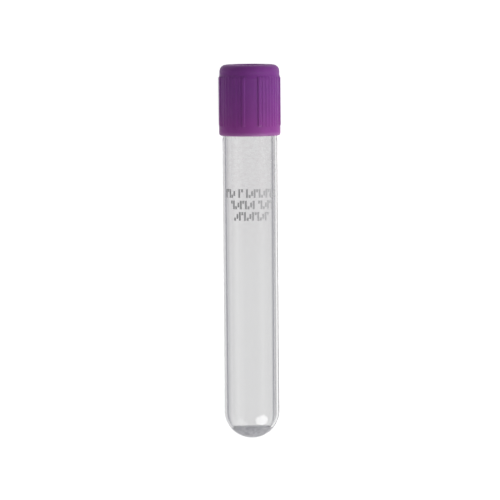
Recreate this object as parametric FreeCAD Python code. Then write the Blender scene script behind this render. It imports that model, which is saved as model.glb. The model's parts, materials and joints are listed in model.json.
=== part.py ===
import FreeCAD, Part
import math
import os

# Stoppered round-bottom blood collection tube, 16 x 100 mm. All lengths are millimetres.
# Every piece is drawn upright: its axis is Z, height 0 is the pole of the round end, and the
# stopper is on top. At the end they are laid down together, as the tube rests on a bench: the
# round end and the stopper touch the bench at Z = 0, and +Y points to the stopper.

# Tube: one clear moulding, drawn off a slightly tapered core
tube_length = 100.0          # pole of the round end to the rim
tube_diameter = 16.0         # the bare barrel
mouth_wall = 1.0             # wall round the straight seat for the plug
foot_wall = 1.2              # the wall thickens to this at the level of the floor
floor_thickness = 0.65       # wall at the pole
land_relief = 0.08           # how far the land under the skirt lies inside the barrel
land_margin = 0.7            # how far that land goes on below the skirt
land_blend = 0.8             # slope between barrel and land
rim_bevel = 0.3              # bevel of both edges of the rim
seat_margin = 1.5            # straight bore that goes on below the plug

# Deposit: the dried additive that stays in the round end
deposit_depth = 2.9          # above the inside of the pole
deposit_gap = 0.02

# Stopper: one rubber moulding, a skirt outside the tube and a plug inside it
head_height = 8.2            # above the rim
skirt_length = 12.35         # below the rim, outside the tube
skirt_thickness = 0.91
running_clearance = 0.04     # between rubber and tube wall, on the radius
rim_gap = 0.05               # between the rim and the roof of its groove
top_round = 1.9
top_round_flats = 4          # flats that make up that round
lip_round = 0.6
lip_round_flats = 2
lip_lead = 0.15              # bevel that guides the skirt over the rim

# Grip: ribs round the barrel, in equal groups with a plain panel between each two groups
band_height = 2.9            # plain band at the top
band_blend = 1.0             # slope between that band and the barrel
band_relief = 0.2            # how far the band lies inside the barrel
collar_height = 2.7          # plain collar below the ribs, lip included
panel_count = 4
panel_angle = 30.5           # between the two wide ribs that edge a panel
fine_rib_count = 7           # between the wide ribs of one group
wide_rib_width = 0.95        # where it leaves the barrel
wide_rib_height = 0.22
fine_rib_width = 0.55
fine_rib_height = 0.07
rib_flank = 0.1              # how far each flank leans in from the barrel to the crest
rib_run_out = 1.4            # length of a rib's sloping ends, as a multiple of its height
rib_margin = 0.1             # plain barrel below the ribs, above the collar
rib_overrun = 0.45           # how far the ribs run up the slope below the band
rib_root = 0.15              # depth to which a rib is rooted in the barrel

# Needle well in the top, plug below with its sealing beads, and a recess up inside the plug
well_diameter = 8.0
well_depth = 5.5
well_entry = 0.7             # bevel at the well's edge
plug_length = 11.8
plug_lead = 0.8              # bevel at the plug's end
bead_count = 2
bead_height = 0.3
bead_width = 2.4             # at its root; it is half as wide at its crest
plug_wall = 3.2              # rubber round the recess
recess_depth = 10.0

# Places that follow from those sizes
tube_radius = tube_diameter / 2
seat_radius = tube_radius - mouth_wall
foot_radius = tube_radius - foot_wall
land_radius = tube_radius - land_relief
top_height = tube_length + head_height
skirt_end = tube_length - skirt_length
plug_end = tube_length - plug_length
groove_roof = tube_length + rim_gap
skirt_bore_radius = land_radius + running_clearance
barrel_radius = skirt_bore_radius + skirt_thickness
band_radius = barrel_radius - band_relief
bead_radius = seat_radius - running_clearance
plug_radius = bead_radius - bead_height
recess_radius = plug_radius - plug_wall
band_end = top_height - band_height
grip_top = band_end - band_blend
grip_bottom = skirt_end + collar_height
rib_top = grip_top + rib_overrun
rib_bottom = grip_bottom + rib_margin
well_floor = top_height - well_depth
recess_roof = plug_end + recess_depth


def upright(across, up):
    """A point of a profile that is turned round the axis."""
    return FreeCAD.Vector(across, 0, up)


def in_section(across, outward):
    """A point of a rib's cross section, on the side that faces -Y."""
    return FreeCAD.Vector(across, -outward, 0)


def in_side_view(outward, up):
    """A point of a rib's side view, on the side that faces -Y."""
    return FreeCAD.Vector(0, -outward, up)


def outline(corners, place):
    """A closed face through corners (a, b, rounding), each rounded by an arc tangent to its sides."""
    points = [place(a, b) for a, b, rounding in corners]
    arcs = []
    ends = []
    for i, (a, b, rounding) in enumerate(corners):
        point = points[i]
        if rounding == 0:
            ends.append((point, point))
            continue
        back = (points[i - 1] - point).normalize()
        ahead = (points[(i + 1) % len(points)] - point).normalize()
        half = back.getAngle(ahead) / 2
        inward = (back + ahead).normalize()
        start = point + back * (rounding / math.tan(half))
        middle = point + inward * (rounding / math.sin(half) - rounding)
        end = point + ahead * (rounding / math.tan(half))
        arcs.append(Part.Arc(start, middle, end).toShape())
        ends.append((start, end))
    lines = []
    for i, (start, end) in enumerate(ends):
        leaving = ends[i - 1][1]
        if leaving.distanceToPoint(start) > 1e-7:
            lines.append(Part.LineSegment(leaving, start).toShape())
    return Part.Face(Part.Wire(Part.__sortEdges__(lines + arcs)))


def eased_edge(across, up, size, flats, side):
    """Corners down an outer edge of the stopper, eased by flats; side is 1 at its top and -1 at its lip."""
    steps = round(flats)     # a count is whole
    turns = [math.pi / 2 * i / steps for i in range(steps + 1)]
    corners = [
        (across - size * (1 - math.cos(turn)), up - side * size * (1 - math.sin(turn)), 0) for turn in turns
    ]
    return corners[::-side]


def turned(corners):
    """The solid that a profile (radius, height, rounding) makes when it is turned round the axis."""
    solid = outline(corners, upright).revolve(FreeCAD.Vector(), FreeCAD.Vector(0, 0, 1), 360)
    if solid.Volume < 0:     # the profile ran the other way round, which leaves the solid inside out
        solid.reverse()
    return solid


def cavity(gap):
    """The room inside the tube, smaller by a gap all round; its round end is tangent to the tapered wall."""
    straight_from = plug_end - seat_margin
    floor = floor_thickness + gap
    foot = foot_radius - gap
    seat = seat_radius - gap
    draft = math.atan2(seat - foot, straight_from - floor)
    return turned([
        (0, floor, 0),
        (foot, floor, foot * math.tan(math.pi / 4 + draft / 2)),
        (seat, straight_from, 0),
        (seat, tube_length - rim_bevel, 0),
        (seat + rim_bevel, tube_length, 0),
        (0, tube_length, 0),
    ])


def make_tube():
    """Round end, bare barrel, and the land that the stopper's skirt sits on, hollowed by the cavity."""
    land_start = skirt_end - land_margin
    body = turned([
        (0, 0, 0),
        (tube_radius, 0, tube_radius),
        (tube_radius, land_start - land_blend, 0),
        (land_radius, land_start, 0),
        (land_radius, tube_length - rim_bevel, 0),
        (land_radius - rim_bevel, tube_length, 0),
        (0, tube_length, 0),
    ])
    return body.cut(cavity(0))


def make_deposit():
    """What fills the round end up to a flat surface."""
    surface = floor_thickness + deposit_depth
    return cavity(deposit_gap).common(Part.makeCylinder(tube_radius, surface))


def bead_corners():
    """The plug's flank from its groove down, with one bead after the other."""
    pitch = (plug_length - plug_lead) / bead_count
    corners = []
    for i in range(bead_count):
        middle = tube_length - pitch * (i + 0.5)
        corners += [
            (plug_radius, middle + bead_width / 2, 0),
            (bead_radius, middle + bead_width / 4, 0),
            (bead_radius, middle - bead_width / 4, 0),
            (plug_radius, middle - bead_width / 2, 0),
        ]
    return corners


def make_stopper_body():
    """The stopper without its ribs: one profile through well, skirt, rim groove, plug and recess."""
    well_radius = well_diameter / 2
    return turned([
        (0, well_floor, 0),
        (well_radius, well_floor, 0),
        (well_radius, top_height - well_entry, 0),
        (well_radius + well_entry, top_height, 0),
        *eased_edge(band_radius, top_height, top_round, top_round_flats, 1),
        (band_radius, band_end, 0),
        (barrel_radius, grip_top, 0),
        *eased_edge(barrel_radius, skirt_end, lip_round, lip_round_flats, -1),
        (skirt_bore_radius + lip_lead, skirt_end, 0),
        (skirt_bore_radius, skirt_end + lip_lead, 0),
        (skirt_bore_radius, groove_roof, 0),
        (plug_radius, groove_roof, 0),
        *bead_corners(),
        (plug_radius, plug_end + plug_lead, 0),
        (plug_radius - plug_lead, plug_end, 0),
        (recess_radius, plug_end, 0),
        (recess_radius, recess_roof, 0),
        (0, recess_roof, 0),
    ])


def rib(angle, width, height):
    """One upright rib, at an angle from -Y towards +X; its flanks and ends lean and run out in the barrel."""
    root = barrel_radius - rib_root
    tip = barrel_radius + height
    half_root = width / 2 + rib_flank * rib_root / height
    half_tip = width / 2 - rib_flank
    run_out = rib_run_out * height
    low_end = rib_bottom - rib_run_out * rib_root
    high_end = rib_top + rib_run_out * rib_root
    section = outline([
        (-half_root, root, 0),
        (-half_tip, tip, 0),
        (half_tip, tip, 0),
        (half_root, root, 0),
    ], in_section)
    section.translate(FreeCAD.Vector(0, 0, low_end))
    side_view = outline([
        (root, low_end, 0),
        (tip, rib_bottom + run_out, 0),
        (tip, rib_top - run_out, 0),
        (root, high_end, 0),
    ], in_side_view)
    side_view.translate(FreeCAD.Vector(-half_root, 0, 0))
    bar = section.extrude(FreeCAD.Vector(0, 0, high_end - low_end))
    leaning = bar.common(side_view.extrude(FreeCAD.Vector(2 * half_root, 0, 0)))
    leaning.rotate(FreeCAD.Vector(), FreeCAD.Vector(0, 0, 1), angle)
    return leaning


def rib_group(start):
    """The ribs between two panels: a wide one at each end and fine ones evenly between."""
    group_angle = 360 / panel_count - panel_angle
    pitch = group_angle / (fine_rib_count + 1)
    wide = [start, start + group_angle]
    fine = [start + pitch * (i + 1) for i in range(fine_rib_count)]
    return (
        [rib(angle, wide_rib_width, wide_rib_height) for angle in wide]
        + [rib(angle, fine_rib_width, fine_rib_height) for angle in fine]
    )


def make_stopper():
    ribs = []
    for i in range(panel_count):
        ribs += rib_group(360 / panel_count * i + panel_angle / 2)
    return make_stopper_body().multiFuse(ribs).removeSplitter()


def rib_reach():
    """How far the wide ribs beside the lowest panel reach below the axis."""
    half = math.radians(panel_angle / 2)
    tip = barrel_radius + wide_rib_height
    edge = wide_rib_width / 2 - rib_flank
    return tip * math.cos(half) + edge * math.sin(half)


def slope_on(height, reach):
    """The axis's slope in degrees when the round end and a place of the stopper share one plane."""
    rise = height - tube_radius
    span = math.hypot(rise, reach)
    return math.degrees(math.asin(reach / span) - math.asin(tube_radius / span))


def rest_tilt():
    """The slope at which the stopper rests, on the collar's edge or on ribs, whichever is the lower."""
    on_collar = slope_on(skirt_end + lip_round, barrel_radius)
    on_ribs = slope_on(rib_bottom + rib_run_out * wide_rib_height, rib_reach())
    return max(on_collar, on_ribs)


def lay_down(pieces):
    """Turn the upright pieces onto their side, seat them on Z = 0 and centre their length on Y = 0."""
    centre = FreeCAD.Vector(0, 0, tube_radius)
    turn = FreeCAD.Rotation(FreeCAD.Vector(1, 0, 0), rest_tilt() - 90)
    seat = FreeCAD.Placement(centre - turn.multVec(centre), turn)
    for piece in pieces.values():
        piece.Placement = seat.multiply(piece.Placement)
    span = Part.Compound(list(pieces.values())).optimalBoundingBox(False)
    for piece in pieces.values():
        piece.translate(FreeCAD.Vector(0, -(span.YMin + span.YMax) / 2, 0))
    return pieces


def main():
    os.makedirs("parts", exist_ok=True)
    pieces = lay_down({
        "tube": make_tube(),
        "deposit": make_deposit(),
        "stopper": make_stopper(),
    })
    for name, piece in pieces.items():
        piece.exportStep(f"parts/{name}.step")
        box = piece.optimalBoundingBox(False)
        print(name, len(piece.Solids), "solid", round(piece.Volume, 2), "mm3", piece.isValid(),
              [round(v, 3) for v in (box.XMin, box.YMin, box.ZMin, box.XMax, box.YMax, box.ZMax)])
    print("axis slope", round(rest_tilt(), 4), "degrees")


main()
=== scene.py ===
import json
import math
import bmesh
import bpy
from mathutils import Matrix, Vector


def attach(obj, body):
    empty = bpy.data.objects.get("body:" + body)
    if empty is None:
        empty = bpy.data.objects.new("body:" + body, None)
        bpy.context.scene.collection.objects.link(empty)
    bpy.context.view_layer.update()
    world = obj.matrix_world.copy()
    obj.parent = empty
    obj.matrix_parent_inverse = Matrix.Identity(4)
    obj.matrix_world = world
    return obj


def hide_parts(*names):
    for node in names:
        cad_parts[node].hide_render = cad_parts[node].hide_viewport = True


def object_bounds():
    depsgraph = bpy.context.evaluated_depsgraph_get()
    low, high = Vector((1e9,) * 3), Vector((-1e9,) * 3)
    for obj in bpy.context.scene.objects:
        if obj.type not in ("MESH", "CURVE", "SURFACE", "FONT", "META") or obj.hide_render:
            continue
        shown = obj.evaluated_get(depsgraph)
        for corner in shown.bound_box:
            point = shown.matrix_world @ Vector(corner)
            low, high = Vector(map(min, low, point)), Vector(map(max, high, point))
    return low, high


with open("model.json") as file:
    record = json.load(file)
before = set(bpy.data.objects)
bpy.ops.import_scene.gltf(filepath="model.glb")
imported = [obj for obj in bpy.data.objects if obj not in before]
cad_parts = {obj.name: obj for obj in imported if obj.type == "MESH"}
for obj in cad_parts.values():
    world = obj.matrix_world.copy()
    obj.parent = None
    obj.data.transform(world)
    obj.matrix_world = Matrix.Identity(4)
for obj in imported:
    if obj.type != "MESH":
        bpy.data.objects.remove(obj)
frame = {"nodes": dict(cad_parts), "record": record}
cad_low, cad_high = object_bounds()

# The tube lies on its side. The axis points from the round end to the stopper; heights are measured
# along it from the pole of the round end, and angles round it from its top towards +X. All in metres.
MM = 0.001
mounts = {mount["name"]: mount for mount in frame["record"]["mounts"]}
barrel = mounts["tube_barrel"]
BARREL_RADIUS = barrel["dims"]["r_mm"] * MM
BARREL_LENGTH = barrel["dims"]["length_mm"] * MM
AXIS = -Vector(barrel["axis"]).normalized()
POLE = Vector(barrel["pos_m"]) - AXIS * (BARREL_RADIUS + BARREL_LENGTH / 2)
ACROSS = Vector((1, 0, 0))
TOP = ACROSS.cross(AXIS).normalized()
OVERALL = (Vector(mounts["stopper_top"]["pos_m"]) - POLE).dot(AXIS)
STOPPER_HEIGHT = 20.55 * MM
STOPPER_START = OVERALL - STOPPER_HEIGHT


def radial(angle):
    """The direction away from the axis at an angle in degrees."""
    return TOP * math.cos(math.radians(angle)) + ACROSS * math.sin(math.radians(angle))


def place(height, angle=0.0, radius=0.0):
    """A point at a height, an angle in degrees and a distance from the axis."""
    return POLE + AXIS * height + radial(angle) * radius


def add_object(name, data):
    made = bpy.data.objects.new(name, data)
    bpy.context.scene.collection.objects.link(made)
    return made


# ---------------------------------------------------------------- materials

def new_material(name):
    material = bpy.data.materials.new(name)
    material.use_nodes = True
    nodes = material.node_tree.nodes
    return material, nodes, material.node_tree.links, nodes["Principled BSDF"]


def math_node(nodes, links, operation, first, second, clamp=False):
    made = nodes.new("ShaderNodeMath")
    made.operation = operation
    made.use_clamp = clamp
    for socket, value in zip(made.inputs, (first, second)):
        if hasattr(value, "links"):
            links.new(value, socket)
        else:
            socket.default_value = value
    return made.outputs[0]


def scaled_colour(nodes, links, colour, factor):
    made = nodes.new("ShaderNodeVectorMath")
    made.operation = "SCALE"
    links.new(colour, made.inputs[0])
    links.new(factor, made.inputs["Scale"])
    return made.outputs["Vector"]


def map_range(nodes, links, source, start=(0, 1), end=(0, 1)):
    """The source's value, carried from one range (from, to) to another and kept inside it."""
    made = nodes.new("ShaderNodeMapRange")
    links.new(source, made.inputs["Value"])
    for name, value in zip(("From Min", "From Max", "To Min", "To Max"), (*start, *end)):
        made.inputs[name].default_value = value
    return made.outputs["Result"]


def colour_ramp(nodes, links, source, stops):
    """A colour that follows the source's value; each stop is (value, colour)."""
    ramp = nodes.new("ShaderNodeValToRGB")
    elements = ramp.color_ramp.elements
    while len(elements) < len(stops):
        elements.new(0.5)
    for element, (at, colour) in zip(elements, stops):
        element.position = at
        element.color = (*colour, 1)
    links.new(source, ramp.inputs["Fac"])
    return ramp.outputs["Color"]


def along_axis(nodes, links, low, high):
    """A value that runs from 0 at one height to 1 at another."""
    where = nodes.new("ShaderNodeTexCoord")
    dot = nodes.new("ShaderNodeVectorMath")
    dot.operation = "DOT_PRODUCT"
    links.new(where.outputs["Object"], dot.inputs[0])
    dot.inputs[1].default_value = AXIS
    start = POLE.dot(AXIS)
    return map_range(nodes, links, dot.outputs["Value"], start=(start + low, start + high))


def noise(nodes, links, scale, detail, stretch=None):
    """Noise with about scale spots to a metre; stretch multiplies that along X, Y and Z."""
    where = nodes.new("ShaderNodeTexCoord")
    source = where.outputs["Object"]
    if stretch:
        mapping = nodes.new("ShaderNodeMapping")
        mapping.inputs["Scale"].default_value = stretch
        links.new(source, mapping.inputs["Vector"])
        source = mapping.outputs["Vector"]
    made = nodes.new("ShaderNodeTexNoise")
    made.inputs["Scale"].default_value = scale
    made.inputs["Detail"].default_value = detail
    links.new(source, made.inputs["Vector"])
    return made.outputs["Fac"]


def add_bump(nodes, links, shader, height, strength, distance, normal=None):
    """Gives the shader a bumpy normal, on top of another normal where there is one."""
    made = nodes.new("ShaderNodeBump")
    made.inputs["Strength"].default_value = strength
    made.inputs["Distance"].default_value = distance
    links.new(height, made.inputs["Height"])
    if normal:
        links.new(normal, made.inputs["Normal"])
    links.new(made.outputs["Normal"], shader.inputs["Normal"])


def rubber_material():
    """Satin purple rubber, a little cloudy, with painted light that makes it paler and pinker towards the
    lip; its edges are shaded as if rounded.
    """
    material, nodes, links, shader = new_material("stopper_rubber")
    height = along_axis(nodes, links, STOPPER_START, OVERALL)
    # Painted light: the rubber is paler and pinker towards the lip, as if lit from below, and darker towards
    # the top.
    base = colour_ramp(nodes, links, height, [
        (0.0, (0.43, 0.17, 0.44)),
        (0.03, (0.40, 0.13, 0.41)),
        (0.06, (0.34, 0.064, 0.355)),
        (0.14, (0.31, 0.053, 0.33)),
        (0.3, (0.275, 0.052, 0.32)),
        (0.65, (0.240, 0.050, 0.31)),
        (1.0, (0.230, 0.044, 0.295)),
    ])
    cloud = map_range(nodes, links, noise(nodes, links, scale=220, detail=4), end=(0.9, 1.1))
    links.new(scaled_colour(nodes, links, base, cloud), shader.inputs["Base Color"])
    rough = map_range(nodes, links, noise(nodes, links, scale=900, detail=2), end=(0.42, 0.56))
    links.new(rough, shader.inputs["Roughness"])
    rounded = nodes.new("ShaderNodeBevel")
    rounded.samples = 6
    rounded.inputs["Radius"].default_value = 0.45 * MM
    grain = noise(nodes, links, scale=4000, detail=3)
    add_bump(nodes, links, shader, grain, strength=0.25, distance=0.02 * MM, normal=rounded.outputs["Normal"])
    shader.inputs["Specular IOR Level"].default_value = 0.22
    shader.inputs["Subsurface Weight"].default_value = 0.45
    shader.inputs["Subsurface Radius"].default_value = (1.0, 0.35, 1.0)
    shader.inputs["Subsurface Scale"].default_value = 0.7 * MM
    return material


HAZE_START = 45 * MM        # the wall is clear below this height,
HAZE_FULL = 75 * MM         # and fully hazy and speckled above this one


def clear_plastic_material():
    """Clear plastic, hazy and speckled near the stopper; lamps shine straight through it."""
    material, nodes, links, shader = new_material("tube_clear_plastic")
    shader.inputs["Specular Tint"].default_value = (0.45, 0.45, 0.45, 1)
    shader.inputs["Transmission Weight"].default_value = 1
    shader.inputs["IOR"].default_value = 1.575
    upper = along_axis(nodes, links, HAZE_START, HAZE_FULL)
    clouds = noise(nodes, links, scale=1300, detail=3, stretch=(0.5, 1, 0.5))
    haze = math_node(nodes, links, "MULTIPLY", map_range(nodes, links, clouds, start=(0.42, 0.62)), upper)
    links.new(colour_ramp(nodes, links, haze, [
        (0.0, (0.868, 0.868, 0.870)),
        (1.0, (0.836, 0.824, 0.831)),
    ]), shader.inputs["Base Color"])
    dots = noise(nodes, links, scale=1500, detail=2)
    specks = math_node(nodes, links, "MULTIPLY", map_range(nodes, links, dots, start=(0.62, 0.72)), upper)
    links.new(map_range(nodes, links, specks, end=(0.02, 0.3)), shader.inputs["Roughness"])
    wave = noise(nodes, links, scale=90, detail=2, stretch=(3, 0.4, 3))
    add_bump(nodes, links, shader, wave, strength=0.15, distance=0.02 * MM)
    passing = nodes.new("ShaderNodeBsdfTransparent")
    passing.inputs["Color"].default_value = (0.9, 0.9, 0.9, 1)
    ray = nodes.new("ShaderNodeLightPath")
    lamps = nodes.new("ShaderNodeMixShader")
    links.new(ray.outputs["Is Shadow Ray"], lamps.inputs["Fac"])
    links.new(shader.outputs["BSDF"], lamps.inputs[1])
    links.new(passing.outputs["BSDF"], lamps.inputs[2])
    links.new(lamps.outputs["Shader"], nodes["Material Output"].inputs["Surface"])
    return material


def deposit_material():
    material, nodes, links, shader = new_material("dried_additive")
    mottle = noise(nodes, links, scale=900, detail=5)
    links.new(colour_ramp(nodes, links, mottle, [
        (0.4, (0.54, 0.54, 0.58)),
        (0.6, (0.84, 0.84, 0.88)),
    ]), shader.inputs["Base Color"])
    shader.inputs["Roughness"].default_value = 0.45
    shader.inputs["Transmission Weight"].default_value = 0.8
    grain = noise(nodes, links, scale=1800, detail=4)
    add_bump(nodes, links, shader, grain, strength=0.5, distance=0.1 * MM)
    return material


def ink_material():
    material, nodes, links, shader = new_material("grey_ink")
    worn = noise(nodes, links, scale=2500, detail=3)
    links.new(colour_ramp(nodes, links, worn, [
        (0.35, (0.47, 0.47, 0.48)),
        (0.75, (0.57, 0.57, 0.58)),
    ]), shader.inputs["Base Color"])
    shader.inputs["Roughness"].default_value = 0.6
    return material


# Painted light and shade on the floor, seen only through glass: (millimetres to the side of the tube's axis,
# brightness). The dark bands are painted shade that draws the dark lines inside the tube's edges; the darker
# a place is, the more it leans to blue.
STRIP = [
    (-70, 0.6), (-30, 0.8), (-22, 0.6), (-18, 0.3), (-15, 0.3), (-13.5, 0.7), (-11, 0.75), (-9.8, 0.5),
    (-7.5, 0.85), (-5, 0.97), (-2.6, 0.97), (-1.5, 0.93), (2.5, 0.93), (4, 0.97), (8.5, 0.93), (9.6, 0.5),
    (10.5, 0.33), (12, 1.0), (15.5, 1.1), (17, 0.7), (20, 0.5), (26, 0.2), (40, 0.2), (70, 0.6),
]
STRIP_HALF = 70
STRIP_BLUE = 0.05
FLOOR_TONE = 0.4            # what the floor sends back of the light on it
FLOOR_TO_CAMERA = 0.9       # its own glow, as the camera sees it
FLOOR_TO_GLOSS = 0.85       # and as a glossy surface mirrors it


def floor_material():
    """A pale floor; what is seen through glass is a painted strip of light with a band of painted shade along
    each side of it.
    """
    material, nodes, links, shader = new_material("pale_floor")
    ray = nodes.new("ShaderNodeLightPath")
    through_glass = ray.outputs["Is Transmission Ray"]
    plain = math_node(nodes, links, "SUBTRACT", 1.0, through_glass)
    links.new(math_node(nodes, links, "MULTIPLY", plain, FLOOR_TONE), shader.inputs["Base Color"])
    shader.inputs["Roughness"].default_value = 1
    shader.inputs["Specular IOR Level"].default_value = 0
    where = nodes.new("ShaderNodeTexCoord")
    parts = nodes.new("ShaderNodeSeparateXYZ")
    links.new(where.outputs["Object"], parts.inputs["Vector"])
    aside = map_range(nodes, links, parts.outputs["X"], start=(-STRIP_HALF * MM, STRIP_HALF * MM))
    # Painted light and shade, seen only through glass: the strip's dark bands draw the lines inside the
    # tube's edges.
    strip = colour_ramp(nodes, links, aside, [
        (0.5 + 0.5 * at / STRIP_HALF, (level, level, level + STRIP_BLUE * (1 - level))) for at, level in STRIP
    ])
    mirrored = math_node(nodes, links, "SUBTRACT", ray.outputs["Is Glossy Ray"], through_glass, clamp=True)
    mirrored = math_node(nodes, links, "MULTIPLY", mirrored, FLOOR_TO_GLOSS)
    seen = math_node(nodes, links, "MULTIPLY", ray.outputs["Is Camera Ray"], FLOOR_TO_CAMERA)
    seen = math_node(nodes, links, "ADD", seen, mirrored)
    total = nodes.new("ShaderNodeVectorMath")
    total.operation = "ADD"
    links.new(seen, total.inputs[0])
    links.new(scaled_colour(nodes, links, strip, through_glass), total.inputs[1])
    glow = nodes.new("ShaderNodeEmission")
    links.new(total.outputs["Vector"], glow.inputs["Color"])
    both = nodes.new("ShaderNodeAddShader")
    links.new(shader.outputs["BSDF"], both.inputs[0])
    links.new(glow.outputs["Emission"], both.inputs[1])
    links.new(both.outputs["Shader"], nodes["Material Output"].inputs["Surface"])
    return material


def dress(target, material):
    target.data.materials.clear()
    target.data.materials.append(material)


dress(frame["nodes"]["stopper"], rubber_material())
dress(frame["nodes"]["tube"], clear_plastic_material())

# ---------------------------------------------------------------- dried additive

CONTACT = 0.08 * MM         # how far the deposit is pushed outward, just into the wall
SAME_POINT = 0.001 * MM
FLAT_TOP = 0.01 * MM        # points this near the highest lie on the flat top


def build_deposit():
    """The deposit as it wets the wall: its round side is pushed out from the middle of the tube's round
    end, and its flat top, which stays at its height, out from the axis."""
    mesh = frame["nodes"]["deposit"].data.copy()
    mesh.name = "deposit_crust"
    made = add_object("deposit_crust", mesh)
    shape = bmesh.new()
    shape.from_mesh(mesh)
    bmesh.ops.remove_doubles(shape, verts=shape.verts, dist=SAME_POINT)
    top = max((vertex.co - POLE).dot(AXIS) for vertex in shape.verts)
    for vertex in shape.verts:
        height = (vertex.co - POLE).dot(AXIS)
        centre = place(BARREL_RADIUS if height < top - FLAT_TOP else height)
        vertex.co += (vertex.co - centre).normalized() * CONTACT
    shape.to_mesh(mesh)
    shape.free()
    dress(made, deposit_material())
    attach(made, "root")
    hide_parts("deposit")


build_deposit()

# ---------------------------------------------------------------- printed marks

MARK_HEIGHT = 2.5 * MM
MARK_WIDTH = 4.1            # degrees
MARK_PITCH = 5.4            # degrees, about; a whole number of marks fills each group
MARK_STEP = 4               # degrees that one flat face of a mark spans at most
INK_INSIDE = BARREL_RADIUS + 0.004 * MM
INK_OUTSIDE = BARREL_RADIUS + 0.02 * MM
PRINT_CENTRE = -1.0         # degrees from the top
# Each row is its height and its groups of marks, from one angle to another.
PRINT_ROWS = [
    (71.2 * MM, [(-62, -35), (-29, -17), (-12, 62)]),
    (67.9 * MM, [(-47, 7), (13, 50)]),
    (64.6 * MM, [(-39, 39)]),
]
# The marks take turns: (how tall, how far above the row's middle), as shares of MARK_HEIGHT.
MARK_KINDS = [(1.0, 0.0), (0.36, 0.32), (1.0, 0.0), (0.36, -0.32), (0.55, 0.0)]


def add_mark(vertices, faces, height, angle, tall):
    """A thin curved block of ink, its middle at a height and an angle."""
    steps = math.ceil(MARK_WIDTH / MARK_STEP)
    first = len(vertices)
    for i in range(steps + 1):
        at = angle - MARK_WIDTH / 2 + MARK_WIDTH * i / steps
        for level in (height - tall / 2, height + tall / 2):
            for radius in (INK_INSIDE, INK_OUTSIDE):
                vertices.append(place(level, at, radius))
    for i in range(steps):
        a = first + 4 * i
        b = a + 4
        faces.append((a + 1, b + 1, b + 3, a + 3))
        faces.append((a, a + 2, b + 2, b))
        faces.append((a, b, b + 1, a + 1))
        faces.append((a + 2, a + 3, b + 3, b + 2))
    faces.append((first, first + 1, first + 3, first + 2))
    last = first + 4 * steps
    faces.append((last, last + 2, last + 3, last + 1))


def build_print():
    """Plain bars that stand in for the print and spell nothing."""
    vertices = []
    faces = []
    count = 0
    for height, groups in PRINT_ROWS:
        for start, end in groups:
            number = round((end - start) / MARK_PITCH)
            for i in range(number):
                share, lift = MARK_KINDS[count % len(MARK_KINDS)]
                count += 1
                angle = PRINT_CENTRE + start + (end - start) * (i + 0.5) / number
                add_mark(vertices, faces, height + MARK_HEIGHT * lift, angle, MARK_HEIGHT * share)
    mesh = bpy.data.meshes.new("print_marks")
    mesh.from_pydata(vertices, [], faces)
    mesh.validate()
    made = add_object("print_marks", mesh)
    dress(made, ink_material())
    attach(made, "root")


build_print()

# ---------------------------------------------------------------- floor

FLOOR_HALF = 3.0            # half the length of its sides
FLOOR_DROP = 0.02 * MM      # how far the floor lies below the part


def build_floor():
    level = cad_low.z - FLOOR_DROP
    corners = [(x * FLOOR_HALF, y * FLOOR_HALF, level) for x, y in ((-1, -1), (1, -1), (1, 1), (-1, 1))]
    mesh = bpy.data.meshes.new("floor")
    mesh.from_pydata(corners, [], [(0, 1, 2, 3)])
    made = add_object("floor", mesh)
    dress(made, floor_material())


build_floor()

# ---------------------------------------------------------------- camera

CAMERA_DISTANCE = 2.4
CAMERA_RISE = 3.1           # degrees towards the stopper's end
PICTURE_WIDTH = 0.1447      # at the tube's middle
SENSOR_WIDTH = 36           # millimetres
SIDE_STEP = -3.5            # degrees round the axis from the top
ROLL = 0.46                 # degrees
AIM_ACROSS = -0.22 * MM
AIM_ALONG = 0.38 * MM

middle = place(OVERALL / 2)
back = radial(SIDE_STEP)
right = AXIS.cross(back).normalized()


def facing_matrix(position, backward, up):
    """The place and turn of a camera or lamp that looks along the opposite of backward."""
    across = up.cross(backward).normalized()
    upward = backward.cross(across)
    turn = Matrix((across, upward, backward)).transposed().to_4x4()
    return Matrix.Translation(position) @ turn


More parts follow.
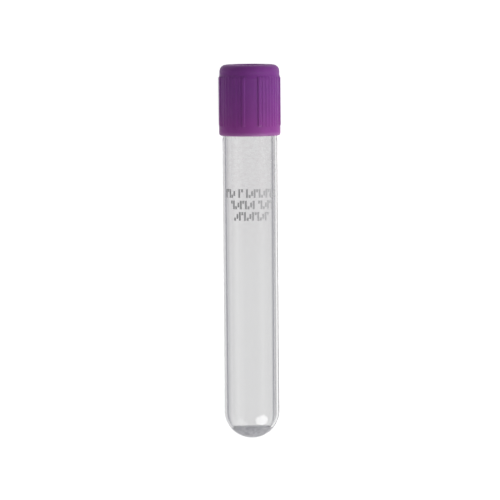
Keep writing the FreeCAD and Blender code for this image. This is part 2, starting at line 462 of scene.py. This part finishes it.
lens = bpy.data.cameras.new("camera")
lens.sensor_width = SENSOR_WIDTH
lens.lens = SENSOR_WIDTH * CAMERA_DISTANCE / PICTURE_WIDTH
lens.clip_start = 0.01
lens.clip_end = 20
camera = add_object("camera", lens)
sight = Matrix.Rotation(math.radians(-CAMERA_RISE), 3, right) @ back
camera_up = Matrix.Rotation(math.radians(-ROLL), 3, sight) @ AXIS
aim = middle + right * AIM_ACROSS + AXIS * AIM_ALONG
camera.matrix_world = facing_matrix(aim + sight * CAMERA_DISTANCE, sight, camera_up)
bpy.context.scene.camera = camera

# ---------------------------------------------------------------- light

LAMP_DISTANCE = 0.5         # from the object's middle
WORLD_LIGHT = 0.29
WORLD_THROUGH_GLASS = 0.4   # added for rays that come through glass, so that the wall looks clear


def softbox(name, direction, width, length, strength, shape="RECTANGLE"):
    """A lamp that faces the object's middle; strength is the brightness of its face."""
    data = bpy.data.lights.new(name, "AREA")
    data.shape = shape
    data.size = width
    data.size_y = length
    data.energy = strength * math.pi * width * length
    made = add_object(name, data)
    made.matrix_world = facing_matrix(middle + direction * LAMP_DISTANCE, direction, AXIS)
    made.visible_camera = False
    return made


def seen_at(angle):
    """A direction across the axis, in degrees to the right of the camera's."""
    return back * math.cos(math.radians(angle)) + right * math.sin(math.radians(angle))


key = softbox("key_softbox", seen_at(72), width=0.7, length=0.9, strength=1.65)
key.visible_glossy = False
softbox("left_strip", seen_at(-60), width=0.1, length=0.7, strength=0.4)
glint_side = (right * 0.58 - AXIS * 0.64 + back * 0.5).normalized()
glint = softbox("glint_softbox", glint_side, width=0.46, length=0.34, strength=7.0, shape="ELLIPSE")
glint.visible_diffuse = False
foot_side = (back * 0.08 - AXIS * 0.8 - right * 0.6).normalized()
foot_fill = softbox("foot_fill", foot_side, width=0.6, length=0.3, strength=1.9)
for lamp in (key, glint, foot_fill):
    lamp.visible_transmission = False

world = bpy.data.worlds.new("world")
bpy.context.scene.world = world
world.use_nodes = True
sky = world.node_tree
sky_ray = sky.nodes.new("ShaderNodeLightPath")
sky_through = math_node(sky.nodes, sky.links, "MULTIPLY", sky_ray.outputs["Is Transmission Ray"],
                        WORLD_THROUGH_GLASS)
sky_light = math_node(sky.nodes, sky.links, "ADD", sky_through, WORLD_LIGHT)
sky.links.new(sky_light, sky.nodes["Background"].inputs["Color"])
bpy.context.scene.view_settings.view_transform = "Standard"
